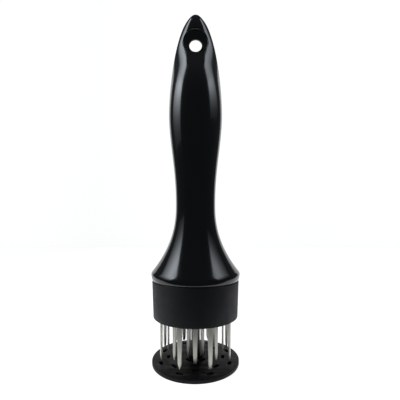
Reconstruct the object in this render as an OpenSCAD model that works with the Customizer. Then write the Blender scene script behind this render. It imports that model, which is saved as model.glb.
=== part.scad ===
// Blade meat tenderizer: a flared handle drives three rings of thin blades through a slotted, sprung foot disc.
// Millimetres, +Z up. The origin is the centre of the foot disc's underside, and the hanging hole runs along Y.

/* [Foot] */
// Diameter of the foot disc
foot_d = 50; // [48:0.5:60]
// Thickness of the foot disc
foot_t = 2; // [1.6:0.1:3]
// Radius of the rounding on the foot disc's top edge
foot_round = 0.6; // [0.2:0.1:0.8]
// Diameter of the hub that the guide post stands in
hub_d = 8.4; // [7.6:0.1:8.6]
// Height of the hub above the disc
hub_h = 1.6; // [1:0.1:3]
// Play round each blade in its slot in the foot disc
slot_play = 0.45; // [0.3:0.05:0.6]

/* [Blades] */
// Gap between the foot disc and the collar with the spring out
blade_gap = 24.5; // [20:0.1:32]
// Number of blades in the outer ring
outer_n = 8; // [6:1:8]
// Number of blades in the middle ring
middle_n = 8; // [6:1:8]
// Number of blades in the inner ring
inner_n = 4; // [3:1:4]
// Distance from the block's edge in to the outer ring of blades
outer_inset = 2.3; // [2:0.1:3]
// Distance from the outer ring of blades in to the middle ring
ring_step = 4.6; // [4.2:0.1:5]
// Distance from the bush out to the inner ring of blades
inner_outset = 1.6; // [1.5:0.1:2]
// Height of the outer blades' tips above the foot disc
outer_tip_h = 2.2; // [0.8:0.1:5]
// Height of the middle blades' tips above the foot disc
middle_tip_h = 3.4; // [0.8:0.1:5]
// Height of the inner blades' tips above the foot disc
inner_tip_h = 1.8; // [0.8:0.1:5]
// Width of a blade where it leaves the block
blade_w = 2.8; // [2.2:0.1:3.2]
// Width of a blade where its ground tip begins
blade_low_w = 2; // [1.4:0.1:2.1]
// Thickness of the blade strip
blade_t = 0.9; // [0.6:0.05:1.1]
// Length of the tapered stretch above the ground tip
blade_taper = 17; // [10:0.5:18]
// Length of the ground tip
blade_point = 2.6; // [1.6:0.1:4]
// Width of a point's flat end, and thickness of a chisel's edge
blade_edge = 0.25; // [0.1:0.05:0.5]
// Width of a chisel blade's edge
chisel_w = 1.6; // [1:0.1:2]
// Width of the head that hangs in the block
head_w = 4.4; // [4:0.1:4.8]
// Height of the head that hangs in the block
head_h = 1.8; // [1.2:0.1:3]

/* [Collar and blade block] */
// Height of the collar
collar_h = 20.6; // [19:0.1:26]
// Diameter of the collar at the seam
collar_top_d = 49.8; // [49.4:0.1:50.2]
// How much narrower the collar is at its lower rim
collar_draft = 1.3; // [0:0.1:2]
// Wall of the collar at the seam, round the blade block and the handle's spigot
collar_wall = 2.1; // [2:0.1:3]
// Width of the ledge that the blade block stands on
ledge_w = 1; // [0.8:0.1:1.2]
// Height of that ledge above the collar's lower rim
ledge_h = 4.5; // [4:0.1:6]
// Radius of the rounding on the collar's lower rim
collar_round = 0.5; // [0.2:0.1:0.8]
// Height of the blade block
block_h = 10; // [8:0.2:12]
// Thickness of the clamp plate
clamp_t = 1.5; // [1:0.1:2]
// Number of block screws
screw_n = 4; // [3:1:4]
// Shank diameter of the block screws
screw_d = 2.4; // [2:0.1:2.6]
// Head diameter of the block screws
screw_head_d = 4.4; // [4:0.1:4.8]
// Head height of the block screws
screw_head_h = 1.8; // [1.4:0.1:2.2]
// Length of the block screws' thread in the handle
screw_bite = 10; // [6:0.5:14]
// Wall round each block screw's bore in the handle
boss_wall = 2; // [1.6:0.1:2.4]

/* [Guide post and spring] */
// Diameter of the guide post
post_d = 5; // [4.8:0.1:5.2]
// Width across the post's two flats, which keep the foot from turning
post_flat = 4.3; // [3.8:0.1:4.5]
// Running clearance between the post and its bush
post_fit = 0.05; // [0.03:0.01:0.1]
// Outer diameter of the bush
bush_d = 8; // [7.6:0.1:8.2]
// Diameter of the bush's flange
flange_d = 13.4; // [13:0.1:14]
// Thickness of the bush's flange
flange_t = 1.5; // [1:0.1:2]
// Diameter of the stop washer
washer_d = 10.2; // [9.8:0.1:10.6]
// Thickness of the stop washer
washer_t = 1; // [0.8:0.1:1.4]
// Shank diameter of the post's two screws
post_screw_d = 2.5; // [2:0.1:2.8]
// Depth of the post's socket in the foot disc
socket_depth = 0.5; // [0.3:0.1:1]
// Length of thread of the post's two screws in the post
post_screw_bite = 8; // [5:0.5:12]
// Outer diameter of the return spring
spring_d = 9.4; // [9.2:0.1:9.8]
// Wire diameter of the return spring
spring_wire = 0.9; // [0.7:0.1:1]
// Number of turns of the return spring
spring_turns = 15; // [10:1:16]
// Length of the spring as fitted, with the foot out
spring_l = 54; // [50:1:60]
// Diameter of the handle's spring bore
spring_bore_d = 11.2; // [11:0.1:11.6]
// Wall of the tube round the spring bore
tube_wall = 2; // [1.6:0.1:2.4]

/* [Handle] */
// Height of the handle above the seam
handle_h = 154.3; // [145:0.1:170]
// How far the skirt's rim stands out past the collar at its widest
rim_over = 0.65; // [0.2:0.05:2]
// Height of that widest place above the seam
rim_h = 4.1; // [2.4:0.1:5]
// How far the foot of the rim stands back from the collar's edge
seam_groove = 0.8; // [0.2:0.1:1]
// Wall of the hollow skirt
skirt_wall = 2.6; // [2:0.1:3]
// Height of the hollow in the skirt
skirt_h = 31; // [24:0.5:32]
// Wall of the spigot that stands in the collar
spigot_wall = 2; // [1.6:0.1:2.6]
// Diameter of the neck
neck_d = 22.9; // [22:0.1:26]
// Height of the neck above the seam
neck_h = 43; // [40:0.5:46]
// How sharply the skirt flares out below the neck
flare_power = 2.25; // [2:0.05:2.5]
// Width of the grip at its widest place
grip_w = 30.9; // [28:0.1:34]
// Depth of the grip, front to back, at the same height
grip_depth = 30.9; // [26:0.1:34]
// Height of the grip's widest place above the seam
grip_h = 94.8; // [88:0.2:100]
// Depth of the flattened top, front to back, at the hanging hole
eye_depth = 7.4; // [7:0.1:9]
// Distance from the hanging hole to the tip of the handle
eye_to_tip = 18; // [16:0.2:19]
// Distance below the hanging hole at which the handle has drawn down to its flat top
flat_below_eye = 4; // [2:0.5:8]
// Diameter of the hanging hole
eye_d = 7.3; // [5:0.1:8]
// Diameter of the dish round the hanging hole
dish_d = 16; // [15:0.1:16.4]
// Corner radius at the foot of the dish's wall
dish_corner = 1.6; // [1:0.1:1.7]
// Thickness of the web left between the two dishes
web_t = 3.4; // [3:0.1:3.6]
// Length of the hanging hole's straight wall, in the middle of the web
eye_wall = 1.2; // [0.8:0.1:1.8]
// Width of the tapered lip round the hanging hole
lip_w = 2.4; // [1.6:0.1:2.6]

/* [Hidden] */
$fn = 72;
// Clearance between pieces that slide into each other when the tool is put together
assembly_fit = 0.1;
// Clearance round a threaded shank, and under a head that is let in flush
screw_fit = 0.05;
// How far a cut runs past the face that it opens
past = 1;
// Gap left at each end of the foot's travel, so that faces meet without overlapping
stop_gap = 0.05;
// Sides and rings of the handle's loft
loft_sides = 60;
rim_rings = 5;
edge_rings = 4;
flare_rings = 9;
grip_rings = 12;
crown_rings = 18;
// Height, as a share of the crown, of the small flat facet that closes the loft
crown_end = 0.9985;
// How far the flare's curve would run on past the rim, as a share of its reach, and how softly the two meet
flare_over = 1.03;
rim_blend = 0.67;
// Height of the rounded edge between the rim's widest place and the plain flare
rim_edge_h = 1.6;
// Exponents of the curves of the grip and the crown
grip_power = 1.16;
crown_power = 1.81;
// How late in the crown the handle draws down to its flat top
draw_power = 2.5;
// Sides of the spring's wire and rings in each of its turns
wire_sides = 6;
rings_per_turn = 12;
// Taper of a countersunk head: its depth as a share of its width over the shank
countersink = 0.5;

collar_low_d = collar_top_d - collar_draft;
collar_bore_d = collar_top_d - 2 * collar_wall;
// The blade block and the handle's spigot both fit in the collar
plug_d = collar_bore_d - 2 * assembly_fit;
outer_r = plug_d / 2 - outer_inset;
middle_r = outer_r - ring_step;
inner_r = bush_d / 2 + inner_outset;
screw_ring_r = (inner_r + middle_r) / 2;
rim_d = collar_top_d + 2 * rim_over;
rim_low_d = collar_top_d - 2 * seam_groove;

foot_top = foot_t;
hub_top = foot_top + hub_h;
socket_z = foot_top - socket_depth;
collar_z = foot_top + blade_gap;
ledge_z = collar_z + ledge_h;
block_top = ledge_z + block_h;
clamp_top = block_top + clamp_t;
flange_top = clamp_top + flange_t;
post_top = flange_top + stop_gap;
washer_top = post_top + washer_t;
seam_z = collar_z + collar_h;
spring_z = washer_top;
spring_end = spring_z + spring_l;
eye_z = seam_z + handle_h - eye_to_tip;
clamp_d = 2 * (outer_r + head_w / 2);
post_screw_head_d = 2 * post_screw_d;
// The foot disc stops against the collar, or its hub against the block's counterbored underside
travel = min(blade_gap, ledge_z - hub_top) - stop_gap;

BLADE_RINGS = ["outer", "middle", "inner"];
ring_n = [outer_n, middle_n, inner_n];

// ---------- curves of the handle, all in heights above the seam ----------

function smooth(s) = s * s * (3 - 2 * s);
function clamp(x, low, high) = min(max(x, low), high);
// Smaller of two values, rounded where they meet within k
function soft_min(a, b, k) = let (h = max(k - abs(a - b), 0) / k) min(a, b) - h * h * k / 4;
// Radius of the rim, which swells from the seam to its widest place, and of the flare that runs into it
function rim_r(h) = (rim_low_d + (rim_d - rim_low_d) * sqrt(1 - (1 - min(h / rim_h, 1)) ^ 2)) / 2;
flare_reach = (rim_d - neck_d) / 2;
flare_h = neck_h - rim_h;
function flare_r(h) = neck_d / 2 + flare_over * flare_reach * (max(neck_h - h, 0) / flare_h) ^ flare_power;
function grip_r(h) =
    neck_d / 2 + (grip_w - neck_d) / 2 * smooth(clamp((h - neck_h) / (grip_h - neck_h), 0, 1) ^ grip_power);
function crown_r(h) =
    grip_w / 2 * sqrt(max(1 - clamp((h - grip_h) / (handle_h - grip_h), 0, 1) ^ crown_power, 0));
// Half width of the handle, as the front view shows it
function half_w(h) =
    h < neck_h ? soft_min(rim_r(h), flare_r(h), rim_blend)
    : h < grip_h ? grip_r(h)
    : crown_r(h);
// Half depth, front to back: it follows the half width up the grip, then draws down to the flat top and its nose
function half_depth(h) =
    let (
        eye_h = handle_h - eye_to_tip,
        flat_h = eye_h - flat_below_eye,
        grip_share = 1 - (1 - grip_depth / grip_w) * smooth(clamp((h - neck_h) / (grip_h - neck_h), 0, 1)),
        draw = smooth(clamp((h - grip_h) / (flat_h - grip_h), 0, 1) ^ draw_power),
        nose = sqrt(max(1 - (max(h - eye_h, 0) / eye_to_tip) ^ 2, 0))
    )
    nose * ((1 - draw) * grip_share * half_w(h) + draw * eye_depth / 2);

// ---------- shared shapes ----------

// Solid skin through rings of points, each ring with the same number of sides
module loft(rings) {
    sides = len(rings[0]);
    last = len(rings) - 1;
    polyhedron(
        points = [for (ring = rings) each ring],
        faces = concat(
            [[for (j = [0:sides - 1]) j]],
            [for (i = [0:last - 1]) for (j = [0:sides - 1])
                let (a = i * sides + j, b = i * sides + (j + 1) % sides) each [[a, a + sides, b], [b, a + sides, b + sides]]],
            [[for (j = [sides - 1:-1:0]) last * sides + j]]
        )
    );
}

// Places children at each of n even angles, counted from the front
module around(n, r, offset = 0) {
    for (i = [0:n - 1]) rotate([0, 0, (i + offset) * 360 / n]) translate([0, -r, 0]) children();
}

// Round rod with two flats, which face the front and the back
module flatted_rod(d, flat, h) {
    intersection() {
        cylinder(d = d, h = h);
        translate([-d, -flat / 2, 0]) cube([2 * d, flat, h]);
    }
}

// Cylinder whose top edge is rounded
module rounded_disc(d, h, round) {
    rotate_extrude() {
        square([d / 2 - round, h]);
        square([d / 2, h - round]);
        translate([d / 2 - round, h - round]) intersection() {
            circle(r = round);
            square(round);
        }
    }
}

// ---------- blades ----------

// Outline of a blade, wide side to the front, from its tip up to its head
module blade_outline(tip_z, end_w) {
    top = block_top;
    polygon([
        [-end_w / 2, tip_z],
        [end_w / 2, tip_z],
        [blade_low_w / 2, tip_z + blade_point],
        [blade_w / 2, tip_z + blade_point + blade_taper],
        [blade_w / 2, top - head_h],
        [head_w / 2, top - head_h],
        [head_w / 2, top],
        [-head_w / 2, top],
        [-head_w / 2, top - head_h],
        [-blade_w / 2, top - head_h],
        [-blade_w / 2, tip_z + blade_point + blade_taper],
        [-blade_low_w / 2, tip_z + blade_point],
    ]);
}

// Side view of a chisel blade, ground from both faces to an edge
module chisel_side(tip_z) {
    polygon([
        [-blade_edge / 2, tip_z],
        [blade_edge / 2, tip_z],
        [blade_t / 2, tip_z + blade_point],
        [blade_t / 2, block_top],
        [-blade_t / 2, block_top],
        [-blade_t / 2, tip_z + blade_point],
    ]);
}

// One blade, at the front of its ring; pointed blades and chisel blades take turns round a ring
module blade(tip_z, pointed) {
    end_w = pointed ? blade_edge : chisel_w;
    intersection() {
        rotate([90, 0, 0]) translate([0, 0, -blade_t / 2]) linear_extrude(blade_t) blade_outline(tip_z, end_w);
        if (!pointed)
            rotate([90, 0, 90]) translate([0, 0, -head_w]) linear_extrude(2 * head_w) chisel_side(tip_z);
    }
}

module blade_at(n, r, i, offset, tip_z) {
    color("silver") rotate([0, 0, (i - 1 + offset) * 360 / n]) translate([0, -r, 0]) blade(tip_z, i % 2 == 0);
}

module blade_outer(i) blade_at(outer_n, outer_r, i, 0.5, foot_top + outer_tip_h);
module blade_middle(i) blade_at(middle_n, middle_r, i, 0, foot_top + middle_tip_h);
module blade_inner(i) blade_at(inner_n, inner_r, i, 0.5, foot_top + inner_tip_h);

// Cuts a pocket of the given width, thickness and height at every blade's place
module blade_pockets(w, t, z, h) {
    around(outer_n, outer_r, 0.5) translate([-w / 2, -t / 2, z]) cube([w, t, h]);
    around(middle_n, middle_r) translate([-w / 2, -t / 2, z]) cube([w, t, h]);
    around(inner_n, inner_r, 0.5) translate([-w / 2, -t / 2, z]) cube([w, t, h]);
}

// ---------- handle and what it holds ----------

// Heights of the loft's rings above the seam, closer together where the curve turns
rim_top = rim_h + rim_edge_h;
loft_heights = concat(
    [for (i = [0:rim_rings - 1]) rim_h * (1 - cos(90 * i / rim_rings))],
    [for (i = [0:edge_rings - 1]) rim_h + rim_edge_h * i / edge_rings],
    [for (i = [0:flare_rings - 1]) rim_top + (neck_h - rim_top) * (i / flare_rings) ^ 1.2],
    [for (i = [0:grip_rings - 1]) neck_h + (grip_h - neck_h) * i / grip_rings],
    [for (i = [0:crown_rings]) grip_h + crown_end * (handle_h - grip_h) * sin(90 * i / crown_rings)]
);

// Inside radius of the hollow skirt at height h, with the wall measured square to the flare
slope_step = 0.5;
function flare_slope(h) = (flare_r(h) - flare_r(h + slope_step)) / slope_step;
function skirt_r(h) = half_w(h) - skirt_wall * sqrt(1 + flare_slope(max(h, rim_top)) ^ 2);

spigot_bore_d = plug_d - 2 * spigot_wall;
tube_d = spring_bore_d + 2 * tube_wall;
boss_d = screw_d + 2 * boss_wall;
cavity_steps = 6;

module skirt_cavity() {
    rotate_extrude() polygon(concat(
        [[0, -past], [0, skirt_h]],
        [for (i = [cavity_steps:-1:0]) let (h = skirt_h * i / cavity_steps) [min(skirt_r(h), spigot_bore_d / 2 + h), h]],
        [[spigot_bore_d / 2, -past]]
    ));
}

// Both dishes of the hanging eye, its tapered lips and its through hole, along the hole's own Z axis
module eye_cut() {
    dish_r = dish_d / 2;
    eye_r = eye_d / 2;
    cylinder(d = eye_d, h = grip_depth, center = true);
    for (side = [0, 1]) mirror([0, 0, side]) rotate_extrude() {
        translate([0, web_t / 2]) square([dish_r - dish_corner, grip_depth]);
        translate([0, web_t / 2 + dish_corner]) square([dish_r, grip_depth]);
        translate([dish_r - dish_corner, web_t / 2 + dish_corner]) circle(r = dish_corner);
        polygon([
            [0, eye_wall / 2],
            [eye_r, eye_wall / 2],
            [eye_r + lip_w, web_t / 2],
            [eye_r + lip_w, grip_depth],
            [0, grip_depth],
        ]);
    }
}

// One-piece moulding: flared skirt with a spigot, spring tube and screw bosses inside, and the hanging eye on top
module handle_shell() {
    color("#101114") difference() {
        union() {
            translate([0, 0, seam_z]) loft([
                for (h = loft_heights) [
                    for (j = [0:loft_sides - 1]) let (a = 360 * j / loft_sides) [half_w(h) * cos(a), half_depth(h) * sin(a), h]
                ]
            ]);
            translate([0, 0, clamp_top]) cylinder(d = plug_d, h = seam_z - clamp_top + past);
        }
        difference() {
            union() {
                translate([0, 0, clamp_top - past]) cylinder(d = spigot_bore_d, h = seam_z - clamp_top + past);
                translate([0, 0, seam_z]) skirt_cavity();
            }
            translate([0, 0, flange_top]) cylinder(d = tube_d, h = skirt_h + seam_z);
            around(screw_n, screw_ring_r) translate([0, 0, clamp_top]) cylinder(d = boss_d, h = skirt_h + seam_z);
        }
        translate([0, 0, clamp_top - past]) cylinder(d = flange_d + 2 * assembly_fit, h = flange_t + past);
        translate([0, 0, flange_top - past]) cylinder(d = spring_bore_d, h = spring_end - flange_top + past);
        around(screw_n, screw_ring_r)
            translate([0, 0, clamp_top - past]) cylinder(d = screw_d + 2 * screw_fit, h = screw_bite + 2 * past);
        translate([0, 0, eye_z]) rotate([90, 0, 0]) eye_cut();
    }
}

// Tapered ring below the seam, with a ledge inside that the blade block stands on
module collar() {
    bore_r = collar_bore_d / 2;
    low_r = collar_low_d / 2;
    color("#1c1c1e") translate([0, 0, collar_z]) difference() {
        rotate_extrude() {
            polygon([
                [bore_r - ledge_w, 0],
                [low_r - collar_round, 0],
                [low_r, collar_round],
                [collar_top_d / 2, collar_h],
                [bore_r, collar_h],
                [bore_r, ledge_h],
                [bore_r - ledge_w, ledge_h],
            ]);
            translate([low_r - collar_round, collar_round]) circle(r = collar_round);
        }
    }
}

// Slotted puck that the blade heads hang in, with a bore for the bush and counterbored screw holes
module blade_block() {
    color("#26272a") difference() {
        translate([0, 0, ledge_z]) cylinder(d = plug_d, h = block_h);
        blade_pockets(blade_w + 2 * screw_fit, blade_t + 2 * screw_fit, ledge_z - past, block_h + 2 * past);
        blade_pockets(head_w + 2 * screw_fit, blade_t + 2 * screw_fit, block_top - head_h, head_h + past);
        translate([0, 0, ledge_z - past]) cylinder(d = bush_d + 2 * screw_fit, h = block_h + 2 * past);
        around(screw_n, screw_ring_r) {
            translate([0, 0, ledge_z - past]) cylinder(d = screw_d + 2 * screw_fit, h = block_h + 2 * past);
            translate([0, 0, ledge_z - past]) cylinder(d = screw_head_d + 2 * assembly_fit, h = screw_head_h + past);
        }
    }
}

// Steel plate that keeps the blade heads down
module clamp_plate() {
    color("lightgray") translate([0, 0, block_top]) difference() {
        cylinder(d = clamp_d, h = clamp_t);
        translate([0, 0, -past]) cylinder(d = bush_d + 2 * screw_fit, h = clamp_t + 2 * past);
        around(screw_n, screw_ring_r)
            translate([0, 0, -past]) cylinder(d = screw_d + 2 * screw_fit, h = clamp_t + 2 * past);
    }
}

// Flanged bush with a flatted bore, held between the clamp plate and the handle's spring tube
module post_bush() {
    color("white") difference() {
        union() {
            translate([0, 0, ledge_z]) cylinder(d = bush_d, h = flange_top - ledge_z);
            translate([0, 0, clamp_top]) cylinder(d = flange_d, h = flange_t);
        }
        translate([0, 0, ledge_z - past])
            flatted_rod(post_d + 2 * post_fit, post_flat + 2 * post_fit, flange_top - ledge_z + 2 * past);
    }
}

// Screws from beneath that pull block, clamp plate and collar up to the handle
module block_screws() {
    color("gray") around(screw_n, screw_ring_r) {
        translate([0, 0, ledge_z]) difference() {
            cylinder(d = screw_head_d, h = screw_head_h);
            translate([0, 0, -past]) cylinder(d = screw_d, h = past + screw_head_h / 2, $fn = 6);
        }
        translate([0, 0, ledge_z + screw_head_h - past / 2])
            cylinder(d = screw_d, h = clamp_top - ledge_z - screw_head_h + screw_bite + past / 2);
    }
}

// Helical spring with closed ends, one unbroken tube
function spring_rise(s) =
    let (dead = 1 / spring_turns, span = spring_l - 3 * spring_wire)
    spring_wire * min(s, dead) / dead
    + (span) * clamp((s - dead) / (1 - 2 * dead), 0, 1)
    + spring_wire * max(s - 1 + dead, 0) / dead;

module return_spring() {
    coil_r = (spring_d - spring_wire) / 2;
    rings = spring_turns * rings_per_turn;
    color("lightgray") translate([0, 0, spring_z]) loft([
        for (i = [0:rings]) let (s = i / rings, turn = 360 * spring_turns * s, z = spring_wire / 2 + spring_rise(s)) [
            for (j = [0:wire_sides - 1]) let (a = -360 * j / wire_sides, r = coil_r + spring_wire / 2 * cos(a))
                [r * cos(turn), r * sin(turn), z + spring_wire / 2 * sin(a)]
        ]
    ]);
}

// ---------- sprung foot ----------

// Disc with a slot for every blade and a hub for the guide post
module foot_plate() {
    color("#17171a") difference() {
        union() {
            rounded_disc(foot_d, foot_t, foot_round);
            rounded_disc(hub_d, hub_top, foot_round / 2);
        }
        blade_pockets(blade_w + 2 * slot_play, blade_t + 2 * slot_play, -past, foot_t + 2 * past);
        translate([0, 0, socket_z]) flatted_rod(post_d + 2 * screw_fit, post_flat + 2 * screw_fit, hub_h + foot_t);
        translate([0, 0, -past]) cylinder(d = post_screw_d + 2 * screw_fit, h = foot_t + past);
        countersunk(screw_fit);
    }
}

// Countersunk head that opens on the underside, grown all round by the given clearance
module countersunk(grow) {
    head_r = post_screw_head_d / 2 + grow;
    shank_r = post_screw_d / 2 + grow;
    head_h = (post_screw_head_d - post_screw_d) * countersink;
    cylinder(r1 = head_r, r2 = shank_r, h = head_h);
}

// Round rod with two flats, tapped at both ends
module guide_post() {
    color("#202022") difference() {
        translate([0, 0, socket_z]) flatted_rod(post_d, post_flat, post_top - socket_z);
        translate([0, 0, socket_z - past])
            cylinder(d = post_screw_d + 2 * screw_fit, h = post_screw_bite + 2 * past);
        translate([0, 0, post_top - post_screw_bite - past])
            cylinder(d = post_screw_d + 2 * screw_fit, h = post_screw_bite + 2 * past);
    }
}

// Countersunk screw from beneath, flush with the underside
module foot_screw() {
    color("gray") difference() {
        union() {
            translate([0, 0, screw_fit]) countersunk(-screw_fit);
            translate([0, 0, screw_fit]) cylinder(d = post_screw_d, h = socket_z + post_screw_bite - screw_fit);
        }
        translate([0, 0, -past]) cylinder(d = post_screw_d * 0.8, h = past + foot_t / 3, $fn = 6);
    }
}

// Washer on top of the post, which rests on the bush when the foot is out
module stop_washer() {
    color("lightgray") translate([0, 0, post_top]) difference() {
        cylinder(d = washer_d, h = washer_t);
        translate([0, 0, -past]) cylinder(d = post_screw_d + 2 * screw_fit, h = washer_t + 2 * past);
    }
}

// Screw that holds the washer to the post
module stop_screw() {
    head_h = 0.6 * post_screw_d;
    color("gray") {
        difference() {
            translate([0, 0, washer_top]) cylinder(d = 1.8 * post_screw_d, h = head_h);
            translate([0, 0, washer_top + head_h / 2]) cylinder(d = 0.8 * post_screw_d, h = head_h, $fn = 6);
        }
        translate([0, 0, post_top - post_screw_bite]) cylinder(d = post_screw_d, h = post_screw_bite + washer_t + past / 2);
    }
}

handle_shell();
collar();
blade_block();
clamp_plate();
post_bush();
block_screws();
return_spring();
for (i = [1:outer_n]) blade_outer(i);
for (i = [1:middle_n]) blade_middle(i);
for (i = [1:inner_n]) blade_inner(i);
foot_plate();
guide_post();
foot_screw();
stop_washer();
stop_screw();
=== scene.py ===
# Blade meat tenderizer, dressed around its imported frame: gloss black flared handle, matte collar,
# three rings of stainless blades and a slotted, sprung foot disc, on a white ground.

import math

import bmesh
import bpy
from mathutils import Matrix, Vector


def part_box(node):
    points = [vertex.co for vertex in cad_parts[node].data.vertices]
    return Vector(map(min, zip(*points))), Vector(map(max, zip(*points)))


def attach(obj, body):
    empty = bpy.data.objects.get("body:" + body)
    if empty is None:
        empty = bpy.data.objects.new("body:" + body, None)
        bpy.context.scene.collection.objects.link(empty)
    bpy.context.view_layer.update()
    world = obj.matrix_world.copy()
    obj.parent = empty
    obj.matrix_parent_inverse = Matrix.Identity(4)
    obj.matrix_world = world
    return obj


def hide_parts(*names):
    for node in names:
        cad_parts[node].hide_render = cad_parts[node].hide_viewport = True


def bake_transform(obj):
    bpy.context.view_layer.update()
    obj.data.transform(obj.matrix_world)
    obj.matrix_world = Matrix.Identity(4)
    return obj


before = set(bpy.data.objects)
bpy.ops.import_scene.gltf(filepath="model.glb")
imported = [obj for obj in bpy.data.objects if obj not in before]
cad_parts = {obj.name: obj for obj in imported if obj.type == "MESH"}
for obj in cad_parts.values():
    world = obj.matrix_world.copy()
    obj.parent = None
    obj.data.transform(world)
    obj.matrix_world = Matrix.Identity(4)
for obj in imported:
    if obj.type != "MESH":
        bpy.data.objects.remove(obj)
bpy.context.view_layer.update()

MM = 0.001

# ---------- Camera ----------
# The photograph was taken close up, with its image plane parallel to the tool's axis, so the camera looks
# level and the lens is shifted up. Its height, distance and lens follow from the ellipses of the seam, the
# collar's lower rim and the foot disc.
PHOTO_PX = 400
FOCAL_PX = 262
SENSOR_MM = 36
HORIZON_ROW_PX = 235
AXIS_COLUMN_PX = 195.6
CAMERA_DISTANCE = 153 * MM
CAMERA_HEIGHT = 73 * MM

camera_data = bpy.data.cameras.new("photo_camera")
camera_data.sensor_width = SENSOR_MM
camera_data.lens = FOCAL_PX / PHOTO_PX * SENSOR_MM
camera_data.shift_y = (HORIZON_ROW_PX - PHOTO_PX / 2) / PHOTO_PX
camera_data.clip_start = 1 * MM
camera = bpy.data.objects.new("photo_camera", camera_data)
bpy.context.scene.collection.objects.link(camera)
camera_x = (PHOTO_PX / 2 - AXIS_COLUMN_PX) * CAMERA_DISTANCE / FOCAL_PX
camera.location = (camera_x, -CAMERA_DISTANCE, CAMERA_HEIGHT)
camera.rotation_euler = (math.radians(90), 0, 0)
bpy.context.scene.camera = camera
bpy.context.scene.view_settings.view_transform = "Standard"


# ---------- Handle ----------
# One injection moulding in high-gloss black ABS: a flared skirt, a round neck, a full grip and a flattened
# top with a dished hanging hole. The polished mould leaves it mirror-smooth, with a faint sink and fine
# handling marks.
def linear(hex_colour):
    """An sRGB hex colour as the linear RGBA that the shaders work in."""
    channels = [int(hex_colour[i : i + 2], 16) / 255 for i in (1, 3, 5)]
    return [c / 12.92 if c <= 0.04045 else ((c + 0.055) / 1.055) ** 2.4 for c in channels] + [1.0]


def add_node(tree, kind, sockets=None, **settings):
    """Adds a node, sets its properties, and links or fills the sockets named."""
    node = tree.nodes.new(kind)
    for name, value in settings.items():
        setattr(node, name, value)
    for name, value in (sockets or {}).items():
        if isinstance(value, bpy.types.NodeSocket):
            tree.links.new(value, node.inputs[name])
        else:
            node.inputs[name].default_value = value
    return node


def new_material(name):
    """An empty node material, with its tree and its output node."""
    material = bpy.data.materials.new(name)
    material.use_nodes = True
    tree = material.node_tree
    tree.nodes.clear()
    return material, tree, tree.nodes.new("ShaderNodeOutputMaterial")


def mesh_object(name, mesh):
    """Links a mesh as an object at the origin."""
    obj = bpy.data.objects.new(name, mesh)
    bpy.context.scene.collection.objects.link(obj)
    return obj


def dress(obj, material, smooth_angle=None):
    """Gives an object its material, smooth up to an angle between faces, or all over where none is given."""
    obj.data.materials.clear()
    obj.data.materials.append(material)
    if smooth_angle is None:
        obj.data.shade_smooth()
    else:
        with bpy.context.temp_override(object=obj, active_object=obj, selected_editable_objects=[obj]):
            bpy.ops.object.shade_smooth_by_angle(angle=math.radians(smooth_angle))


def circle(mesh, radius, z, count):
    """A ring of new points in a mesh, in mm about the tool's axis."""
    turns = [math.tau * j / count for j in range(count)]
    places = [(radius * math.cos(turn) * MM, radius * math.sin(turn) * MM, z * MM) for turn in turns]
    return [mesh.verts.new(place) for place in places]


def bridge(mesh, low, high, closed=True):
    """A band of faces between two rows of points, joined up where the rows are rings."""
    count = len(low)
    for j in range(count if closed else count - 1):
        k = (j + 1) % count
        mesh.faces.new((low[j], low[k], high[k], high[j]))


def finished(mesh, name):
    """Turns the faces outwards and returns the shape as mesh data."""
    bmesh.ops.recalc_face_normals(mesh, faces=mesh.faces[:])
    data = bpy.data.meshes.new(name)
    mesh.to_mesh(data)
    mesh.free()
    return data


# Outside sizes in mm, with heights above the seam. The rim is widest at RIM_H, but lower at the front and
# back. The flare's curve would run on past the rim to FLARE_OVER times its reach, and meets the rim softly
# over RIM_BLEND. The powers set how full each stretch of the outline is between the places named.
SEAM_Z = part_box("collar")[1][2] / MM
HANDLE_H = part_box("handle_shell")[1][2] / MM - SEAM_Z
RIM_D = 51.1
RIM_LOW_D = 48.2
RIM_H = 4.1
RIM_FRONT_H = 2.4
RIM_BLEND = 0.67
RIM_EDGE_H = 2
FLARE_OVER = 1.03
FLARE_POWER = 2.25
NECK_D = 22.9
NECK_H = 43
GRIP_W = 30.9
GRIP_DEPTH = 30.9
GRIP_H = 94.8
GRIP_POWER = 1.16
CROWN_POWER = 1.81
EYE_DEPTH = 9.2
EYE_TO_TIP = 18
EYE_H = HANDLE_H - EYE_TO_TIP
FLAT_H = EYE_H + 2
TAB_LOW_H = 96
TAB_POWER = 3
DRAW_POWER = 1.5
EYE_R = 7.3 / 2
EYE_WALL = 1.2
LIP_EDGE = 0.3
BOWL_SLOPE = 0.5
DISH_R = 16 / 2
DISH_WALL_W = 0.7
WALL_SLOPE = 8
SOFT_EDGE = 0.35

# Inside sizes in mm: the spring's bore and its tube, the hollow skirt, and the spigot that seats in the
# collar.
BORE_R = 11.2 / 2
BORE_TOP_Z = 99.1
BORE_TOP_CUT = 0.6
TUBE_WALL = 2
TUBE_LOW_Z = 44.2
TUBE_FOOT_W = 0.5
SKIRT_H = 31
SKIRT_WALL = 2.6
SPIGOT_R = 45.4 / 2
SPIGOT_WALL = 2
SPIGOT_LOW_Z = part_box("handle_shell")[0][2] / MM
SEAM_FACE_W = 0.5
EDGE_CUT = 0.3

# Points in each ring of the skin, and the height above the seam where its rays take over from its rings.
SKIN_SIDES = 160
RAYS_LOW_H = EYE_H - 24


def ease(s):
    """A smooth step from 0 to 1."""
    s = min(max(s, 0), 1)
    return s * s * (3 - 2 * s)


def soft_min(a, b, k):
    """Smaller of two values, rounded where they meet within k."""
    h = max(k - abs(a - b), 0) / k
    return min(a, b) - h * h * k / 4


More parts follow.
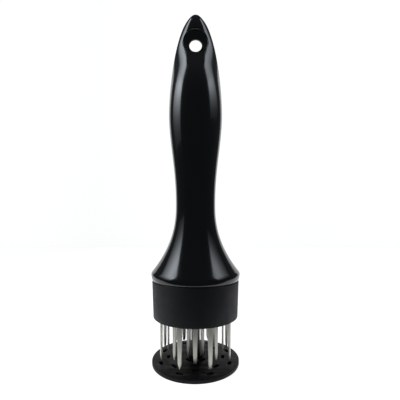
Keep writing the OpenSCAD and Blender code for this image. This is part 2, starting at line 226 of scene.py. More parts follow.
def half_width(h, rim_h=RIM_H):
    """Half width of the handle in mm at height h above the seam, whose rim is widest at rim_h."""
    if h < NECK_H:
        reach = FLARE_OVER * (RIM_D - NECK_D) / 2
        flare = NECK_D / 2 + reach * ((NECK_H - h) / (NECK_H - rim_h)) ** FLARE_POWER
        bulge = math.sqrt(1 - (1 - min(h / rim_h, 1)) ** 2)
        rim = (RIM_LOW_D + (RIM_D - RIM_LOW_D) * bulge) / 2
        return soft_min(rim, flare, RIM_BLEND)
    if h < GRIP_H:
        rise = ((h - NECK_H) / (GRIP_H - NECK_H)) ** GRIP_POWER
        return NECK_D / 2 + (GRIP_W - NECK_D) / 2 * ease(rise)
    u = min((h - GRIP_H) / (HANDLE_H - GRIP_H), 1)
    return GRIP_W / 2 * math.sqrt(max(1 - u**CROWN_POWER, 0))


def half_depth(h):
    """Half depth in mm, front to back, where the flare runs lower and the top draws down to a flat nose."""
    grip_share = 1 - (1 - GRIP_DEPTH / GRIP_W) * ease((h - NECK_H) / (GRIP_H - NECK_H))
    draw = ease((max(h - GRIP_H, 0) / (FLAT_H - GRIP_H)) ** DRAW_POWER)
    nose = math.sqrt(max(1 - (max(h - EYE_H, 0) / EYE_TO_TIP) ** 2, 0))
    return nose * ((1 - draw) * grip_share * half_width(h, RIM_FRONT_H) + draw * EYE_DEPTH / 2)


def skin_depth(x, h):
    """Distance in mm of the skin from the mid plane: an oval that turns into a tab with bevelled sides."""
    least_width = 0.001
    side = min(abs(x) / max(half_width(h), least_width), 1)
    tab = ease((h - TAB_LOW_H) / (FLAT_H - TAB_LOW_H))
    return half_depth(h) * ((1 - tab) * math.sqrt(1 - side**2) + tab * (1 - side**TAB_POWER))


def dish_depth(r):
    """Distance in mm of the dish's surface from the mid plane, at radius r from the hanging hole's axis."""
    edge = max(1 - (r - EYE_R) / LIP_EDGE, 0)
    bowl = EYE_WALL / 2 + BOWL_SLOPE * (r - EYE_R) - LIP_EDGE * (1 - math.sqrt(1 - edge**2))
    wall_foot = DISH_R - DISH_WALL_W
    wall = EYE_WALL / 2 + BOWL_SLOPE * (wall_foot - EYE_R) + WALL_SLOPE * (r - wall_foot)
    return -soft_min(-bowl, -wall, SOFT_EDGE)


def inside_profile():
    """(radius, z) points in mm: down the spring's bore, up its tube, down the skirt and round the spigot."""
    # The bore's flat end closes on a tiny face, and the skin's slope is measured over slope_h.
    end_r = 0.02
    skirt_steps = 8
    straight_h = 8
    slope_h = 0.5
    tube_r = BORE_R + TUBE_WALL
    spigot_in_r = SPIGOT_R - SPIGOT_WALL
    profile = [(end_r, BORE_TOP_Z), (BORE_R - BORE_TOP_CUT, BORE_TOP_Z), (BORE_R, BORE_TOP_Z - BORE_TOP_CUT)]
    profile += [(BORE_R, TUBE_LOW_Z + EDGE_CUT), (BORE_R + EDGE_CUT, TUBE_LOW_Z)]
    profile += [(tube_r - EDGE_CUT, TUBE_LOW_Z), (tube_r, TUBE_LOW_Z + EDGE_CUT)]
    profile += [(tube_r, SEAM_Z + SKIRT_H - TUBE_FOOT_W), (tube_r + TUBE_FOOT_W, SEAM_Z + SKIRT_H)]
    for step in range(skirt_steps + 1):
        h = SKIRT_H * (1 - step / skirt_steps)
        # The wall has its thickness square to the skin, whose slope is taken no lower than straight_h.
        slope_at = max(h, straight_h)
        slope = (half_depth(slope_at) - half_depth(slope_at + slope_h)) / slope_h
        wall = SKIRT_WALL * math.sqrt(1 + slope**2)
        profile.append((min(half_depth(h) - wall, spigot_in_r + h), SEAM_Z + h))
    profile += [(spigot_in_r, SPIGOT_LOW_Z + EDGE_CUT), (spigot_in_r + EDGE_CUT, SPIGOT_LOW_Z)]
    profile += [(SPIGOT_R - EDGE_CUT, SPIGOT_LOW_Z), (SPIGOT_R, SPIGOT_LOW_Z + EDGE_CUT)]
    return profile + [(SPIGOT_R, SEAM_Z), (RIM_LOW_D / 2 - SEAM_FACE_W, SEAM_Z)]


def ring_heights():
    """Heights in mm above the seam of the skin's rings, which lie closest round the rim."""
    rim_steps = 12
    edge_steps = 10
    flare_steps = 36
    flare_crowding = 1.15
    grip_steps = 30
    crown_steps = 14
    edge_top_h = RIM_H + RIM_EDGE_H
    flare_h = NECK_H - edge_top_h
    heights = [RIM_H * (1 - math.cos(math.radians(90 * i / rim_steps))) for i in range(rim_steps)]
    heights += [RIM_H + RIM_EDGE_H * i / edge_steps for i in range(edge_steps)]
    heights += [edge_top_h + flare_h * (i / flare_steps) ** flare_crowding for i in range(flare_steps + 1)]
    heights += [NECK_H + (GRIP_H - NECK_H) * i / grip_steps for i in range(1, grip_steps + 1)]
    heights += [GRIP_H + (RAYS_LOW_H - GRIP_H) * i / crown_steps for i in range(1, crown_steps + 1)]
    return heights


def dish_radii():
    """Radii in mm of each ray's points over the hole's rounded lip, the bowl and the dish's steep wall."""
    lip_steps = 5
    bowl_steps = 12
    wall_steps = 18
    wall_step = 0.07
    bowl_start = EYE_R + LIP_EDGE
    wall_start = DISH_R - DISH_WALL_W
    turns = [math.radians(90 * i / lip_steps) for i in range(lip_steps + 1)]
    radii = [EYE_R + LIP_EDGE * (1 - math.cos(turn)) for turn in turns]
    radii += [bowl_start + (wall_start - bowl_start) * i / bowl_steps for i in range(1, bowl_steps + 1)]
    return radii + [wall_start + wall_step * i for i in range(1, wall_steps + 1)]


def handle_mesh():
    """The skin as rings up to the flattened top, and above them as rays that run out from the hole."""
    mesh = bmesh.new()

    def ring(h):
        """A ring of the skin at height h, with its two side points in the mid plane."""
        points = []
        for j in range(SKIN_SIDES):
            turn = math.tau * j / SKIN_SIDES
            x = half_width(h) * math.cos(turn)
            y = math.copysign(skin_depth(x, h), math.sin(turn)) if j % (SKIN_SIDES // 2) else 0
            points.append(mesh.verts.new((x * MM, y * MM, (SEAM_Z + h) * MM)))
        return points

    rows = [circle(mesh, r, z, SKIN_SIDES) for r, z in inside_profile()]
    mesh.faces.new(list(reversed(rows[0])))
    rows += [ring(h) for h in ring_heights()]
    for low, high in zip(rows, rows[1:]):
        bridge(mesh, low, high)

    # The rays end on one half of the last ring, from the left to the right, then up the right side of the
    # outline, over the tip and down the left side. Even steps of angle keep the faces square round the tip.
    half = SKIN_SIDES // 2
    front = [rows[-1][(half + j) % SKIN_SIDES] for j in range(half + 1)]
    back = [rows[-1][(half - j) % SKIN_SIDES] for j in range(half + 1)]
    outline_steps = 130
    crown = []
    for i in range(1, outline_steps):
        s = i / outline_steps
        h = RAYS_LOW_H + (HANDLE_H - RAYS_LOW_H) * math.sin(math.pi * s)
        side = 1 if s <= 0.5 else -1
        crown.append((side * half_width(h), h))
    crown_points = [mesh.verts.new((x * MM, 0, (SEAM_Z + h) * MM)) for x, h in crown]

    def sheet(side, base):
        """One face of the flattened top: side is -1 for the front and 1 for the back."""
        ends = [(point, point.co.x / MM, point.co.z / MM - SEAM_Z) for point in base]
        ends += [(point, x, h) for point, (x, h) in zip(crown_points, crown)]
        inner_radii = dish_radii()
        first_r = inner_radii[-1]
        outer_steps = 26
        columns = []
        for end, x, h in ends:
            reach = math.hypot(x, h - EYE_H)
            unit = (x / reach, (h - EYE_H) / reach)
            shares = [math.sin(math.radians(90 * i / outer_steps)) for i in range(1, outer_steps)]
            column = []
            for r in inner_radii + [first_r + (reach - first_r) * share for share in shares]:
                px = unit[0] * r
                ph = EYE_H + unit[1] * r
                depth = soft_min(skin_depth(px, ph), dish_depth(r), SOFT_EDGE)
                column.append(mesh.verts.new((px * MM, side * depth * MM, (SEAM_Z + ph) * MM)))
            columns.append(column + [end])
        for low, high in zip(columns, columns[1:] + columns[:1]):
            bridge(mesh, low, high, closed=False)
        return [column[0] for column in columns]

    # The hanging hole's straight wall joins the two faces in four bands.
    hole_front = sheet(-1, front)
    hole_back = sheet(1, back)
    walls = [hole_front]
    for share in (0.25, 0.5, 0.75):
        walls.append([mesh.verts.new(a.co.lerp(b.co, share)) for a, b in zip(hole_front, hole_back)])
    walls.append(hole_back)
    for low, high in zip(walls, walls[1:]):
        bridge(mesh, low, high)
    return finished(mesh, "handle_skin")


gloss_abs, tree, output = new_material("gloss_black_abs_polished")
where = add_node(tree, "ShaderNodeTexCoord").outputs["Object"]
# A faint wave in the polished skin, from sink over the core, about 9 mm from crest to crest.
sink = add_node(tree, "ShaderNodeTexNoise", {"Vector": where, "Scale": 110.0, "Detail": 1.0})
# Fine handling marks, drawn about 0.5 mm across so that they show.
marks = add_node(
    tree, "ShaderNodeTexNoise", {"Vector": where, "Scale": 1900.0, "Detail": 3.0, "Roughness": 0.65}
)
mark_rough = add_node(
    tree,
    "ShaderNodeMapRange",
    {"Value": marks.outputs["Fac"], "From Min": 0.35, "From Max": 0.75, "To Min": 0.1, "To Max": 0.16},
)
sink_bump = add_node(
    tree, "ShaderNodeBump", {"Height": sink.outputs["Fac"], "Strength": 0.35, "Distance": 0.05 * MM}
)
surface = add_node(
    tree,
    "ShaderNodeBsdfPrincipled",
    {
        "Base Color": linear("#08080A"),
        "IOR": 1.53,
        "Roughness": mark_rough.outputs["Result"],
        "Normal": sink_bump.outputs["Normal"],
    },
)
tree.links.new(surface.outputs["BSDF"], output.inputs["Surface"])

handle = mesh_object("handle_skin", handle_mesh())
dress(handle, gloss_abs)
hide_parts("handle_shell")
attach(handle, "handle")


# ---------- Collar ----------
# A turned-looking ring moulded in matte black ABS, slightly narrower at its lower rim, with a ledge inside
# that carries the blade block. Fine spark-eroded grain in the mould keeps it dull beside the polished handle.
def lathe(name, profile, sides=192):
    """A closed ring of (radius, height) points in mm, spun about the tool's axis."""
    mesh = bmesh.new()
    rings = [circle(mesh, r, z, sides) for r, z in profile]
    for low, high in zip(rings, rings[1:] + rings[:1]):
        bridge(mesh, low, high)
    return mesh_object(name, finished(mesh, name))


def arc(centre, radius, start, end, steps=6):
    """Points of an arc in mm about centre, from one angle to another in degrees."""
    angles = [math.radians(start + (end - start) * i / steps) for i in range(steps + 1)]
    return [(centre[0] + radius * math.cos(a), centre[1] + radius * math.sin(a)) for a in angles]


COLLAR_LOW_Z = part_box("collar")[0][2] / MM
COLLAR_TOP_R = 49.8 / 2
COLLAR_LOW_R = 48.5 / 2
COLLAR_BORE_R = 45.6 / 2
LEDGE_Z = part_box("blade_block")[0][2] / MM
LEDGE_W = 1
LEDGE_CORNER = 0.05
COLLAR_ROUND = 0.5
SEAM_ROUND = 0.35
BORE_TOP_ROUND = 0.25
LEDGE_ROUND = 0.2
BORE_LOW_ROUND = 0.3

ledge_r = COLLAR_BORE_R - LEDGE_W
collar_profile = arc((COLLAR_LOW_R - COLLAR_ROUND, COLLAR_LOW_Z + COLLAR_ROUND), COLLAR_ROUND, -90, 0)
collar_profile += arc((COLLAR_TOP_R - SEAM_ROUND, SEAM_Z - SEAM_ROUND), SEAM_ROUND, 0, 90)
collar_profile += arc((COLLAR_BORE_R + BORE_TOP_ROUND, SEAM_Z - BORE_TOP_ROUND), BORE_TOP_ROUND, 90, 180, 3)
collar_profile += [(COLLAR_BORE_R, LEDGE_Z + LEDGE_CORNER), (COLLAR_BORE_R - LEDGE_CORNER, LEDGE_Z)]
collar_profile += arc((ledge_r + LEDGE_ROUND, LEDGE_Z - LEDGE_ROUND), LEDGE_ROUND, 90, 180, 3)
collar_profile += arc((ledge_r + BORE_LOW_ROUND, COLLAR_LOW_Z + BORE_LOW_ROUND), BORE_LOW_ROUND, 180, 270, 4)

matte_abs, tree, output = new_material("matte_black_abs_spark_eroded")
where = add_node(tree, "ShaderNodeTexCoord").outputs["Object"]
# Spark-eroded grain, about 0.35 mm across: coarser than the real 0.1 mm, so that it shows.
grain = add_node(
    tree, "ShaderNodeTexNoise", {"Vector": where, "Scale": 2800.0, "Detail": 2.0, "Roughness": 0.6}
)
grain_bump = add_node(
    tree, "ShaderNodeBump", {"Height": grain.outputs["Fac"], "Strength": 0.5, "Distance": 0.04 * MM}
)
# Patches about 6 mm across that handling has polished a little.
wear = add_node(tree, "ShaderNodeTexNoise", {"Vector": where, "Scale": 160.0, "Detail": 3.0})
wear_rough = add_node(
    tree,
    "ShaderNodeMapRange",
    {"Value": wear.outputs["Fac"], "From Min": 0.3, "From Max": 0.7, "To Min": 0.6, "To Max": 0.7},
)
surface = add_node(
    tree,
    "ShaderNodeBsdfPrincipled",
    {
        "Base Color": linear("#202023"),
        "IOR": 1.5,
        "Roughness": wear_rough.outputs["Result"],
        "Normal": grain_bump.outputs["Normal"],
    },
)
tree.links.new(surface.outputs["BSDF"], output.inputs["Surface"])

collar = lathe("collar_ring", collar_profile)
dress(collar, matte_abs, 40)
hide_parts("collar")
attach(collar, "handle")


# ---------- Blades ----------
# Stainless strips, 2.8 x 0.9 mm, stamped with a head that hangs in the block, drawn narrower below and
# ground at the tip. Pointed blades and chisel blades take turns round each ring, and every wide side faces
# outwards.
BLADE_W = 2.8
BLADE_LOW_W = 2
BLADE_T = 0.9
BLADE_TAPER = 17
BLADE_POINT = 2.6
BLADE_EDGE = 0.25
CHISEL_W = 1.6
HEAD_W = 4.4
HEAD_H = 1.8
BLADE_TOP_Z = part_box("blade_block")[1][2] / MM
TIP_ROUND = 0.12
# Width of the break on a blade's long edges, and the most that it takes of a half width or half thickness.
BREAK = 0.12
BREAK_SHARE = 0.6
# Each ring's number of blades, its radius in mm and the turn of its first blade from the front, in degrees.
BLADE_RINGS = {"outer": (8, 20.4, 22.5), "middle": (8, 15.8, 0), "inner": (4, 5.6, 45)}


def blade_sections(tip_z, pointed):
    """(z, half width, half thickness) in mm, from the rounded tip up to the head."""
    end_w = BLADE_EDGE / 2 if pointed else CHISEL_W / 2
    end_t = BLADE_T / 2 if pointed else BLADE_EDGE / 2
    point_top = tip_z + BLADE_POINT
    head_z = BLADE_TOP_Z - HEAD_H
    # The ground tip's edge is rounded, and so is its shoulder, by a few hundredths.
    return [
        (tip_z, end_w * 0.5, end_t * 0.5),
        (tip_z + TIP_ROUND * 0.35, end_w * 0.85, end_t * 0.85),
        (tip_z + TIP_ROUND, end_w + 0.02, min(end_t + 0.01, BLADE_T / 2)),
        (point_top - 0.1, BLADE_LOW_W / 2 - 0.03, BLADE_T / 2 - (0 if pointed else 0.02)),
        (point_top + 0.15, BLADE_LOW_W / 2 + 0.004, BLADE_T / 2),
        (point_top + BLADE_TAPER, BLADE_W / 2, BLADE_T / 2),
        (head_z, BLADE_W / 2, BLADE_T / 2),
        (head_z, HEAD_W / 2, BLADE_T / 2),
        (BLADE_TOP_Z, HEAD_W / 2, BLADE_T / 2),
    ]


def add_blade(mesh, ring_r, turn, tip_z, pointed):
    """Adds one blade at a turn of the ring in degrees, counted from the front, with its long edges broken."""
    place = Matrix.Rotation(math.radians(turn), 4, "Z") @ Matrix.Translation((0, -ring_r * MM, 0))
    rings = []
    for z, w, t in blade_sections(tip_z, pointed):
        b = min(BREAK, w * BREAK_SHARE, t * BREAK_SHARE)
        right = [(w - b, -t), (w, b - t), (w, t - b), (w - b, t)]
        left = [(b - w, t), (-w, t - b), (-w, b - t), (b - w, -t)]
        rings.append([mesh.verts.new(place @ Vector((x * MM, y * MM, z * MM))) for x, y in right + left])
    for low, high in zip(rings, rings[1:]):
        bridge(mesh, low, high)
    mesh.faces.new(list(reversed(rings[0])))
    mesh.faces.new(rings[-1])


# A ring of blades is one pair of them, turned about the axis as often as the ring has pairs.
ring_tree = bpy.data.node_groups.new("blade_ring", "GeometryNodeTree")
ring_tree.interface.new_socket("Geometry", in_out="OUTPUT", socket_type="NodeSocketGeometry")
ring_tree.interface.new_socket("Geometry", in_out="INPUT", socket_type="NodeSocketGeometry")
for label, kind in (("Pairs", "NodeSocketInt"), ("Steel", "NodeSocketMaterial")):
    ring_tree.interface.new_socket(label, in_out="INPUT", socket_type=kind)
given = add_node(ring_tree, "NodeGroupInput")
spots = add_node(ring_tree, "GeometryNodePoints", {"Count": given.outputs["Pairs"]})
number = add_node(ring_tree, "GeometryNodeInputIndex")
step = add_node(ring_tree, "ShaderNodeMath", {0: math.tau, 1: given.outputs["Pairs"]}, operation="DIVIDE")
turn = add_node(ring_tree, "ShaderNodeMath", {0: number.outputs[0], 1: step.outputs[0]}, operation="MULTIPLY")
spin = add_node(ring_tree, "ShaderNodeCombineXYZ", {"Z": turn.outputs[0]})
copies = add_node(
    ring_tree,
    "GeometryNodeInstanceOnPoints",
    {"Points": spots.outputs[0], "Instance": given.outputs["Geometry"], "Rotation": spin.outputs[0]},
)
solid = add_node(ring_tree, "GeometryNodeRealizeInstances", {"Geometry": copies.outputs[0]})
steeled = add_node(
    ring_tree, "GeometryNodeSetMaterial", {"Geometry": solid.outputs[0], "Material": given.outputs["Steel"]}
)
add_node(ring_tree, "NodeGroupOutput", {"Geometry": steeled.outputs[0]})

blade_steel, tree, output = new_material("stainless_strip_ground")
where = add_node(tree, "ShaderNodeTexCoord").outputs["Object"]
# Rolling and grinding lines run down the blade: about 0.24 mm apart, so that they show, and 12 mm long.
lengthwise = add_node(tree, "ShaderNodeMapping", {"Vector": where, "Scale": (1.0, 1.0, 0.02)})
lines = add_node(
    tree,
    "ShaderNodeTexNoise",
    {"Vector": lengthwise.outputs[0], "Scale": 4200.0, "Detail": 2.0, "Roughness": 0.6},
)
# Sockets 6 and 7 are the two colours that the lines vary between.
tone = add_node(
    tree,
    "ShaderNodeMix",
    {"Factor": lines.outputs["Fac"], 6: linear("#CCCAC2"), 7: linear("#E2E0D9")},
    data_type="RGBA",
)
line_rough = add_node(
    tree,
    "ShaderNodeMapRange",
    {"Value": lines.outputs["Fac"], "From Min": 0.3, "From Max": 0.7, "To Min": 0.55, "To Max": 0.68},
)
# The lines spread a highlight across the blade, so every blade picks up the lights at the sides.
across = add_node(tree, "ShaderNodeTangent", direction_type="RADIAL", axis="Z")
line_bump = add_node(
    tree, "ShaderNodeBump", {"Height": lines.outputs["Fac"], "Strength": 0.25, "Distance": 0.02 * MM}
)
surface = add_node(
    tree,
    "ShaderNodeBsdfPrincipled",
    {
        "Base Color": tone.outputs[2],
        "Metallic": 1.0,
        "Roughness": line_rough.outputs["Result"],
        "Anisotropic": 0.8,
        "Tangent": across.outputs["Tangent"],
        "Normal": line_bump.outputs["Normal"],
    },
)
tree.links.new(surface.outputs["BSDF"], output.inputs["Surface"])


def blade_ring(name, count, ring_r, first_turn, tip_z):
    """One ring of blades: a chisel and a pointed blade, repeated in pairs round the axis as one mesh."""
    mesh = bmesh.new()
    add_blade(mesh, ring_r, first_turn, tip_z, pointed=False)
    add_blade(mesh, ring_r, first_turn + 360 / count, tip_z, pointed=True)
    pair = mesh_object(name + "_pair", finished(mesh, name + "_pair"))
    pair_ring = pair.modifiers.new("ring", "NODES")
    pair_ring.node_group = ring_tree
    inputs = {s.name: s.identifier for s in ring_tree.interface.items_tree if s.in_out == "INPUT"}
    pair_ring[inputs["Pairs"]] = count // 2
    pair_ring[inputs["Steel"]] = blade_steel
    evaluated = pair.evaluated_get(bpy.context.evaluated_depsgraph_get())
    whole = mesh_object(name, bpy.data.meshes.new_from_object(evaluated))
    bpy.data.objects.remove(pair)
    dress(whole, blade_steel, 20)
    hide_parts(*[f"{name}_{i}" for i in range(1, count + 1)])
    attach(whole, "handle")


for ring, (count, ring_r, first_turn) in BLADE_RINGS.items():
    blade_ring(f"blade_{ring}", count, ring_r, first_turn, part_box(f"blade_{ring}_1")[0][2] / MM)


# ---------- Blade block and bush ----------
# The block is a machined black acetal puck and the bush is white acetal with a flange. Both are the frame's
# own solids. What shows of them shows from below, between the blades.
def turned_acetal(name, colour, roughness):
    """Machined acetal: waxy, with faint turning marks round the axis, drawn 0.6 mm apart so they show."""
    material, tree, output = new_material(name)
    where = add_node(tree, "ShaderNodeTexCoord").outputs["Object"]
    rings = add_node(
        tree,
        "ShaderNodeTexWave",
        {"Vector": where, "Scale": 500.0, "Distortion": 0.3, "Detail": 1.0},
        wave_type="RINGS",
        rings_direction="Z",
    )
    bump = add_node(
        tree, "ShaderNodeBump", {"Height": rings.outputs["Fac"], "Strength": 0.2, "Distance": 0.02 * MM}
    )
    surface = add_node(
        tree,
        "ShaderNodeBsdfPrincipled",
        {"Base Color": linear(colour), "IOR": 1.48, "Roughness": roughness, "Normal": bump.outputs["Normal"]},
    )
    tree.links.new(surface.outputs["BSDF"], output.inputs["Surface"])
    return material


dress(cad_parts["blade_block"], turned_acetal("black_acetal_turned", "#1E1E20", 0.42), 30)
dress(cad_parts["post_bush"], turned_acetal("white_acetal_turned", "#E4E3DC", 0.4), 30)


# ---------- Screws, washer, clamp plate and spring ----------
# Zinc-bright steel hardware, bought in or stamped: cap screws, a countersunk screw, a washer, the clamp plate
# over the blades' heads and a wound wire spring. All but the spring are the frame's own solids.
def welded(name, *meshes):
    """The meshes as one, with the points that coincide merged and every face outwards."""
    joined = bmesh.new()
    for mesh in meshes:
        joined.from_mesh(mesh)
    bmesh.ops.remove_doubles(joined, verts=joined.verts[:], dist=0.002 * MM)
    return finished(joined, name)


bright_steel, tree, output = new_material("bright_zinc_steel")
where = add_node(tree, "ShaderNodeTexCoord").outputs["Object"]
# Zinc plating shines unevenly, in clouds about 1.4 mm across.
cloud = add_node(tree, "ShaderNodeTexNoise", {"Vector": where, "Scale": 700.0, "Detail": 3.0})
cloud_rough = add_node(
    tree,
    "ShaderNodeMapRange",
    {"Value": cloud.outputs["Fac"], "From Min": 0.3, "From Max": 0.7, "To Min": 0.26, "To Max": 0.42},
)
surface = add_node(
    tree,
    "ShaderNodeBsdfPrincipled",
    {"Base Color": linear("#C4C5C6"), "Metallic": 1.0, "Roughness": cloud_rough.outputs["Result"]},
)
tree.links.new(surface.outputs["BSDF"], output.inputs["Surface"])
for name in ("clamp_plate", "block_screws", "foot_screw", "stop_washer", "stop_screw"):
    dress(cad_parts[name], bright_steel, 30)

# The spring is the frame's coil, welded into one mesh and left where it stands at rest.
spring = mesh_object("spring_coil", welded("spring_coil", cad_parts["return_spring"].data))
dress(spring, bright_steel, 30)
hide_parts("return_spring")
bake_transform(spring)

# ---------- Guide post ----------
# Ground steel rod with two flats, which stands in the foot disc's hub and slides in the bush. It is
# chemically blackened: a thin, slightly oily finish that stays dark.
black_oxide, tree, output = new_material("black_oxide_steel")
where = add_node(tree, "ShaderNodeTexCoord").outputs["Object"]
# Sliding has rubbed it smoother in patches about 2.4 mm across.
rub = add_node(tree, "ShaderNodeTexNoise", {"Vector": where, "Scale": 420.0, "Detail": 4.0})
rub_rough = add_node(
    tree,
    "ShaderNodeMapRange",
    {"Value": rub.outputs["Fac"], "From Min": 0.3, "From Max": 0.7, "To Min": 0.3, "To Max": 0.42},
)
surface = add_node(
    tree,
    "ShaderNodeBsdfPrincipled",
    {"Base Color": linear("#0E0E0F"), "IOR": 1.6, "Roughness": rub_rough.outputs["Result"]},
)
tree.links.new(surface.outputs["BSDF"], output.inputs["Surface"])
dress(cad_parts["guide_post"], black_oxide, 30)

# ---------- Foot disc ----------
# Moulded in black ABS with a satin top: a thin disc with a rounded rim, a slot for each blade, and a hub
# round the guide post. It is drawn as a flat outline with its slots, thickened, with every edge rounded.
FOOT_R = 50 / 2
FOOT_T = 2
FOOT_EDGE = 0.35
FOOT_SIDES = 180
SLOT_PLAY = 0.45
SLOT_CORNER = 0.5
HUB_R = 8.4 / 2
HUB_TOP_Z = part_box("foot_plate")[1][2] / MM
HUB_SIDES = 96
HUB_SINK = 0.3
HUB_FILLET = 0.5
FILLET_OVER = 0.1
HUB_ROUND = 0.3
POST_HOLE_R = 2.4
POST_HOLE_CUT_W = 0.2
POST_HOLE_CUT_H = 0.1

outline = bpy.data.curves.new("foot_outline", "CURVE")
outline.dimensions = "2D"
outline.fill_mode = "BOTH"
outline.extrude = (FOOT_T / 2 - FOOT_EDGE) * MM
outline.bevel_depth = FOOT_EDGE * MM
outline.bevel_resolution = 3
# The bevel widens the disc and narrows each slot by its depth, so both are drawn that much smaller or wider.
outline.offset = -FOOT_EDGE * MM


def add_loop(curve, points):
    """A closed straight-sided loop of (x, y) points in mm."""
    loop = curve.splines.new("POLY")
    loop.points.add(len(points) - 1)
    for point, (x, y) in zip(loop.points, points):
        point.co = (x * MM, y * MM, 0, 1)
    loop.use_cyclic_u = True


rim_turns = [math.tau * j / FOOT_SIDES for j in range(FOOT_SIDES)]
add_loop(outline, [(FOOT_R * math.cos(angle), FOOT_R * math.sin(angle)) for angle in rim_turns])
# One slot is drawn with round corners and play all round its blade, and then put at each blade's place.
slot_w = BLADE_W / 2 + SLOT_PLAY
slot_t = BLADE_T / 2 + SLOT_PLAY
slot = []
for sx, sy, start in ((1, 1, 0), (-1, 1, 90), (-1, -1, 180), (1, -1, 270)):
    centre = (sx * (slot_w - SLOT_CORNER), sy * (slot_t - SLOT_CORNER))
    slot += arc(centre, SLOT_CORNER, start, start + 90, 4)
for count, ring_r, first_turn in BLADE_RINGS.values():
    for i in range(count):
        place = Matrix.Rotation(math.radians(first_turn + 360 * i / count), 2)
        add_loop(outline, [tuple(place @ Vector((x, y - ring_r))) for x, y in reversed(slot)])

drawn = bpy.data.objects.new("foot_outline", outline)
bpy.context.scene.collection.objects.link(drawn)
foot_mesh = bpy.data.meshes.new_from_object(drawn.evaluated_get(bpy.context.evaluated_depsgraph_get()))
bpy.data.objects.remove(drawn)
foot_mesh.transform(Matrix.Translation((0, 0, FOOT_T / 2 * MM)))

hub_foot_r = HUB_R + HUB_FILLET + FILLET_OVER
hub_profile = [(POST_HOLE_R, FOOT_T - HUB_SINK), (hub_foot_r, FOOT_T - HUB_SINK), (hub_foot_r, FOOT_T)]
hub_profile += arc((HUB_R + HUB_FILLET, FOOT_T + HUB_FILLET), HUB_FILLET, 270, 180, 4)
hub_profile += arc((HUB_R - HUB_ROUND, HUB_TOP_Z - HUB_ROUND), HUB_ROUND, 0, 90, 4)
hub_profile += [(POST_HOLE_R + POST_HOLE_CUT_W, HUB_TOP_Z), (POST_HOLE_R, HUB_TOP_Z - POST_HOLE_CUT_H)]
hub = lathe("hub", hub_profile, HUB_SIDES)
foot = mesh_object("foot_disc", welded("foot_disc", foot_mesh, hub.data))
bpy.data.objects.remove(hub)

satin_abs, tree, output = new_material("satin_black_abs_moulded")
where = add_node(tree, "ShaderNodeTexCoord").outputs["Object"]
# Satin moulding spreads its highlights wide, a little unevenly, in patches about 4 mm across.
haze = add_node(tree, "ShaderNodeTexNoise", {"Vector": where, "Scale": 240.0, "Detail": 4.0})
haze_rough = add_node(
    tree,
    "ShaderNodeMapRange",
    {"Value": haze.outputs["Fac"], "From Min": 0.3, "From Max": 0.7, "To Min": 0.5, "To Max": 0.6},
)
# Its grain, drawn about 0.4 mm across so that it shows.
fine = add_node(tree, "ShaderNodeTexNoise", {"Vector": where, "Scale": 2600.0, "Detail": 2.0})
fine_bump = add_node(
    tree, "ShaderNodeBump", {"Height": fine.outputs["Fac"], "Strength": 0.3, "Distance": 0.02 * MM}
)
surface = add_node(
    tree,
    "ShaderNodeBsdfPrincipled",
    {
        "Base Color": linear("#070708"),
        "IOR": 1.5,
        "Specular IOR Level": 0.2,
        "Roughness": haze_rough.outputs["Result"],
        "Normal": fine_bump.outputs["Normal"],
    },
)
tree.links.new(surface.outputs["BSDF"], output.inputs["Surface"])

dress(foot, satin_abs, 35)
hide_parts("foot_plate")
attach(foot, "foot")


# ---------- Ground and backdrop ----------
# White paper, cut to what the camera sees. It glows white to the camera, to mirrors and to glass, and keeps
# the tool's soft shadow. It ends just in front of the tool, so the collar and the rim don't mirror it. Where
# the foot disc covers it, an occlusion mask turns its glow off: painted shade, so the slots don't shine.
white, tree, output = new_material("white_paper")
ray = add_node(tree, "ShaderNodeLightPath")
seen = add_node(
    tree,
    "ShaderNodeMath",
    {0: ray.outputs["Is Camera Ray"], 1: ray.outputs["Is Glossy Ray"]},
    operation="MAXIMUM",
)
seen = add_node(
    tree,
    "ShaderNodeMath",
    {0: seen.outputs[0], 1: ray.outputs["Is Transmission Ray"]},
    operation="MAXIMUM",
)
# Painted shade: ambient occlusion within 4 mm switches the paper's glow off under the foot disc and in its
# slots.
painted_shade_occlusion = add_node(tree, "ShaderNodeAmbientOcclusion", {"Distance": 2 * FOOT_T * MM})
glow_outside_painted_shade = add_node(
    tree, "ShaderNodeMapRange", {"Value": painted_shade_occlusion.outputs["AO"], "From Min": 0.3, "From Max": 0.55}
)
shining = add_node(tree, "ShaderNodeMath", {0: seen.outputs[0], 1: glow_outside_painted_shade.outputs[0]}, operation="MULTIPLY")
paper = add_node(tree, "ShaderNodeBsdfDiffuse", {"Color": linear("#C8C8C8")})
glow = add_node(tree, "ShaderNodeEmission", {"Color": (1, 1, 1, 1), "Strength": 0.92})
lit = add_node(tree, "ShaderNodeAddShader", {0: paper.outputs[0], 1: glow.outputs[0]})
mixed = add_node(tree, "ShaderNodeMixShader", {0: shining.outputs[0], 1: paper.outputs[0], 2: lit.outputs[0]})
tree.links.new(mixed.outputs[0], output.inputs["Surface"])

# The ground's front edge and the backdrop's place, in metres. The ground widens from its front edge to the
# back.
FRONT_Y = -0.045
FRONT_X = 0.6
BACK_Y = 1.6
BACK_X = 1.6
BACKDROP_H = 1.9


def sheet_of_paper(name, corners):
    """A flat sheet through four corners in metres."""
    mesh = bpy.data.meshes.new(name)
    mesh.from_pydata(corners, [], [(0, 1, 2, 3)])
    sheet = mesh_object(name, mesh)
    dress(sheet, white)


back_edge = [(BACK_X, BACK_Y, 0), (-BACK_X, BACK_Y, 0)]
backdrop_top = [(BACK_X, BACK_Y, BACKDROP_H), (-BACK_X, BACK_Y, BACKDROP_H)]
sheet_of_paper("ground", [(-FRONT_X, FRONT_Y, 0), (FRONT_X, FRONT_Y, 0)] + back_edge)
sheet_of_paper("backdrop", back_edge[::-1] + backdrop_top)

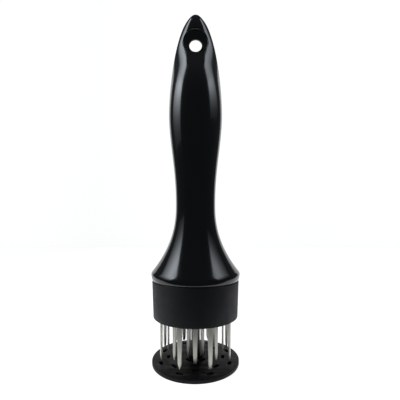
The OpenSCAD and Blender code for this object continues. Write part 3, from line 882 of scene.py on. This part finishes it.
# ---------- Light ----------
# Two tall soft boxes stand at the left and the right, brightest some 0.7 m up, in a dim room. The left one is
# stronger, so the handle shows a wide pale band at the left and a dimmer one at the right. Sizes in metres.
BOX_DISTANCE = 0.6
BOX_TOP = 2.0
BOX_EDGE = 0.06
BOX_RISE = 0.5
BOX_FADE_LOW = 0.6
BOX_FADE_TOP = 1.0

world = bpy.data.worlds.new("dim_room")
bpy.context.scene.world = world
world.use_nodes = True
tree = world.node_tree
tree.nodes.clear()
air = add_node(tree, "ShaderNodeBackground", {"Color": linear("#8C9296"), "Strength": 0.3})
add_node(tree, "ShaderNodeOutputWorld", {"Surface": air.outputs[0]})


def soft_box(name, azimuth, width, low, strength):
    """An upright sheet of light that faces the tool, from azimuth 0 in front of it, positive to the right."""
    box, tree, output = new_material(name)
    where = add_node(tree, "ShaderNodeTexCoord").outputs["Object"]
    part = add_node(tree, "ShaderNodeSeparateXYZ", {0: where})
    off = add_node(tree, "ShaderNodeMath", {0: part.outputs["X"]}, operation="ABSOLUTE")
    side = add_node(
        tree,
        "ShaderNodeMapRange",
        {"Value": off.outputs[0], "From Min": width / 2, "From Max": width / 2 - BOX_EDGE},
        interpolation_type="SMOOTHSTEP",
    )
    rise = add_node(
        tree,
        "ShaderNodeMapRange",
        {
            "Value": part.outputs["Z"],
            "From Min": low,
            "From Max": low + BOX_RISE,
            "To Min": 0.05,
            "To Max": 0.75,
        },
        interpolation_type="SMOOTHSTEP",
    )
    fade = add_node(
        tree,
        "ShaderNodeMapRange",
        {
            "Value": part.outputs["Z"],
            "From Min": BOX_FADE_LOW,
            "From Max": BOX_FADE_TOP,
            "To Min": 1.0,
            "To Max": 0.6,
        },
        interpolation_type="SMOOTHSTEP",
    )
    # The sheet dims towards its rear edge, which is on the other side of a box that stands at the left.
    rear = math.copysign(width, azimuth)
    near = add_node(
        tree,
        "ShaderNodeMapRange",
        {
            "Value": part.outputs["X"],
            "From Min": 0.4 * rear,
            "From Max": -0.1 * rear,
            "To Min": 0.3,
            "To Max": 1.0,
        },
    )
    power = add_node(tree, "ShaderNodeMath", {0: side.outputs[0], 1: near.outputs[0]}, operation="MULTIPLY")
    for factor in (rise.outputs[0], fade.outputs[0], strength):
        power = add_node(tree, "ShaderNodeMath", {0: power.outputs[0], 1: factor}, operation="MULTIPLY")
    glow = add_node(tree, "ShaderNodeEmission", {"Color": linear("#EEF6FF"), "Strength": power.outputs[0]})
    tree.links.new(glow.outputs[0], output.inputs["Surface"])
    mesh = bpy.data.meshes.new(name)
    lower_edge = [(-width / 2, 0, low), (width / 2, 0, low)]
    upper_edge = [(width / 2, 0, BOX_TOP), (-width / 2, 0, BOX_TOP)]
    mesh.from_pydata(lower_edge + upper_edge, [], [(0, 1, 2, 3)])
    sheet = mesh_object(name, mesh)
    turn = math.radians(azimuth)
    sheet.location = (BOX_DISTANCE * math.sin(turn), -BOX_DISTANCE * math.cos(turn), 0)
    sheet.rotation_euler = (0, 0, turn)
    dress(sheet, box)


soft_box("left_soft_box", azimuth=-87, width=0.53, low=0.22, strength=9.0)
soft_box("right_soft_box", azimuth=86, width=0.56, low=0.34, strength=5.5)
